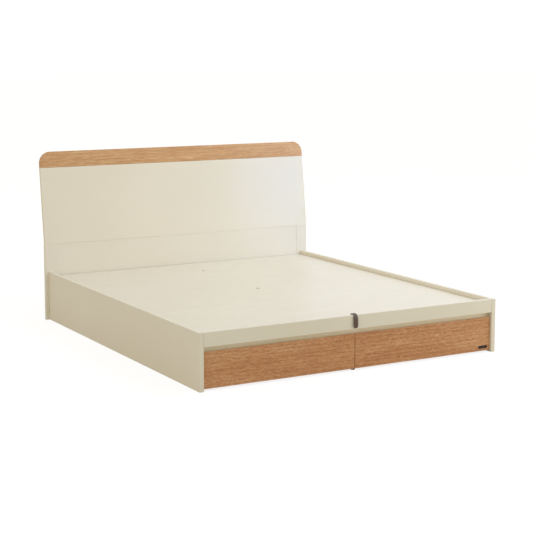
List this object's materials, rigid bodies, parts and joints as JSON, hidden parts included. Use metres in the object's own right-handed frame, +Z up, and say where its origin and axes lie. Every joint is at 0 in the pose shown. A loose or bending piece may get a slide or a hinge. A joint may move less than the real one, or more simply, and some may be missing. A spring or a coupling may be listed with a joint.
{
  "type": "storage bed",
  "caption": "Low storage bed with a lift-up platform on gas struts, drawers in the foot end, a recessed mattress deck and a headboard that leans back under a wooden top band.",
  "frame": {"origin": "middle of the footprint on the floor, the bottom centre of the whole part's box", "axes": "+Z up, +Y from the foot rail towards the headboard, +X to the right as seen from the foot end"},
  "size_m": [1.893, 2.1764, 1.045],
  "materials": {
    "cream_board": "satin cream lacquer on board",
    "oak_board": "warm oak veneer with a matt oil finish",
    "pine_batten": "planed pine",
    "drawer_board": "pale melamine drawer board",
    "coated_steel": "dark grey powder coat",
    "zinc_steel": "zinc plated",
    "strut_barrel": "satin black paint",
    "polished_rod": "ground and polished",
    "brown_leather": "dark brown leather",
    "black_plastic": "moulded, matt",
    "black_plate": "bare black plate"
  },
  "bodies": {
    "base": {"angle_screws": "zinc_steel", "cabinet_runners_left": "zinc_steel", "cabinet_runners_right": "zinc_steel", "drawer_bay_top": "cream_board", "drawer_partition": "cream_board", "floor_battens": "pine_batten", "foot_rail": "cream_board", "glide_feet": "black_plastic", "grip_backing_rail": "cream_board", "head_cross_panel": "cream_board", "headboard_bolts": "zinc_steel", "headboard_brace_left": "cream_board", "headboard_brace_right": "cream_board", "headboard_middle_panel": "cream_board", "headboard_stile_left": "cream_board", "headboard_stile_right": "cream_board", "headboard_top_band": "oak_board", "headboard_upper_panel": "cream_board", "hinge_bracket_left": "coated_steel", "hinge_bracket_right": "coated_steel", "platform_battens": "pine_batten", "rail_spacer_board": "cream_board", "side_panel_left": "cream_board", "side_panel_right": "cream_board", "steel_angles": "zinc_steel", "storage_cross_panel": "cream_board", "storage_floor_left": "cream_board", "storage_floor_right": "cream_board", "strut_anchor_left": "coated_steel", "strut_anchor_right": "coated_steel"},
    "platform": {"deck_board_foot": "cream_board", "deck_board_head": "cream_board", "hinge_ears": "coated_steel", "platform_cross_tubes": "coated_steel", "platform_inner_tubes_left": "coated_steel", "platform_inner_tubes_right": "coated_steel", "platform_side_tube_left": "coated_steel", "platform_side_tube_right": "coated_steel", "pull_strap": "brown_leather", "strap_plate": "zinc_steel", "strap_screws": "zinc_steel", "strut_ears": "coated_steel", "tube_end_caps": "black_plastic"},
    "strut_cylinder_left": {"strut_cylinder_left": "strut_barrel"},
    "strut_cylinder_right": {"strut_cylinder_right": "strut_barrel"},
    "strut_rod_left": {"strut_rod_left": "polished_rod"},
    "strut_rod_right": {"strut_rod_right": "polished_rod"},
    "drawer_left": {"drawer_back_left": "drawer_board", "drawer_bottom_left": "drawer_board", "drawer_front_left": "oak_board", "drawer_runners_left": "zinc_steel", "drawer_sides_left": "drawer_board"},
    "drawer_right": {"drawer_back_right": "drawer_board", "drawer_bottom_right": "drawer_board", "drawer_front_right": "oak_board", "drawer_plate": "black_plate", "drawer_runners_right": "zinc_steel", "drawer_sides_right": "drawer_board"},
    "middle_runners_left": {"middle_runners_left": "zinc_steel"},
    "middle_runners_right": {"middle_runners_right": "zinc_steel"}
  },
  "joints": [
    {"name": "platform_lift", "type": "hinge", "parent": "base", "child": "platform", "pos_m": [0, 0.77282, 0.242], "axis": [-1, 0, 0], "range_deg": [0, 35]},
    {"name": "strut_swing_left", "type": "hinge", "parent": "base", "child": "strut_cylinder_left", "pos_m": [-0.832, 0.74282, 0.055], "axis": [-1, 0, 0], "range_deg": [0, 24.49]},
    {"name": "strut_stroke_left", "type": "slide", "parent": "strut_cylinder_left", "child": "strut_rod_left", "axis": [0, -0.8517, 0.5241], "range_m": [0, 0.09423]},
    {"name": "strut_swing_right", "type": "hinge", "parent": "base", "child": "strut_cylinder_right", "pos_m": [0.832, 0.74282, 0.055], "axis": [-1, 0, 0], "range_deg": [0, 24.49]},
    {"name": "strut_stroke_right", "type": "slide", "parent": "strut_cylinder_right", "child": "strut_rod_right", "axis": [0, -0.8517, 0.5241], "range_m": [0, 0.09423]},
    {"name": "drawer_slide_left", "type": "slide", "parent": "base", "child": "drawer_left", "axis": [0, -1, 0], "range_m": [0, 0.4]},
    {"name": "runner_slide_left", "type": "slide", "parent": "base", "child": "middle_runners_left", "axis": [0, -1, 0], "range_m": [0, 0.2]},
    {"name": "drawer_slide_right", "type": "slide", "parent": "base", "child": "drawer_right", "axis": [0, -1, 0], "range_m": [0, 0.4]},
    {"name": "runner_slide_right", "type": "slide", "parent": "base", "child": "middle_runners_right", "axis": [0, -1, 0], "range_m": [0, 0.2]}
  ],
  "couplings": [
    {"joint": "strut_swing_left", "follows": "platform_lift", "ratio": 0.69819},
    {"joint": "strut_stroke_left", "follows": "platform_lift", "m_per_rad": 0.15393},
    {"joint": "strut_swing_right", "follows": "platform_lift", "ratio": 0.69819},
    {"joint": "strut_stroke_right", "follows": "platform_lift", "m_per_rad": 0.15393},
    {"joint": "runner_slide_left", "follows": "drawer_slide_left", "ratio": 0.5},
    {"joint": "runner_slide_right", "follows": "drawer_slide_right", "ratio": 0.5}
  ]
}
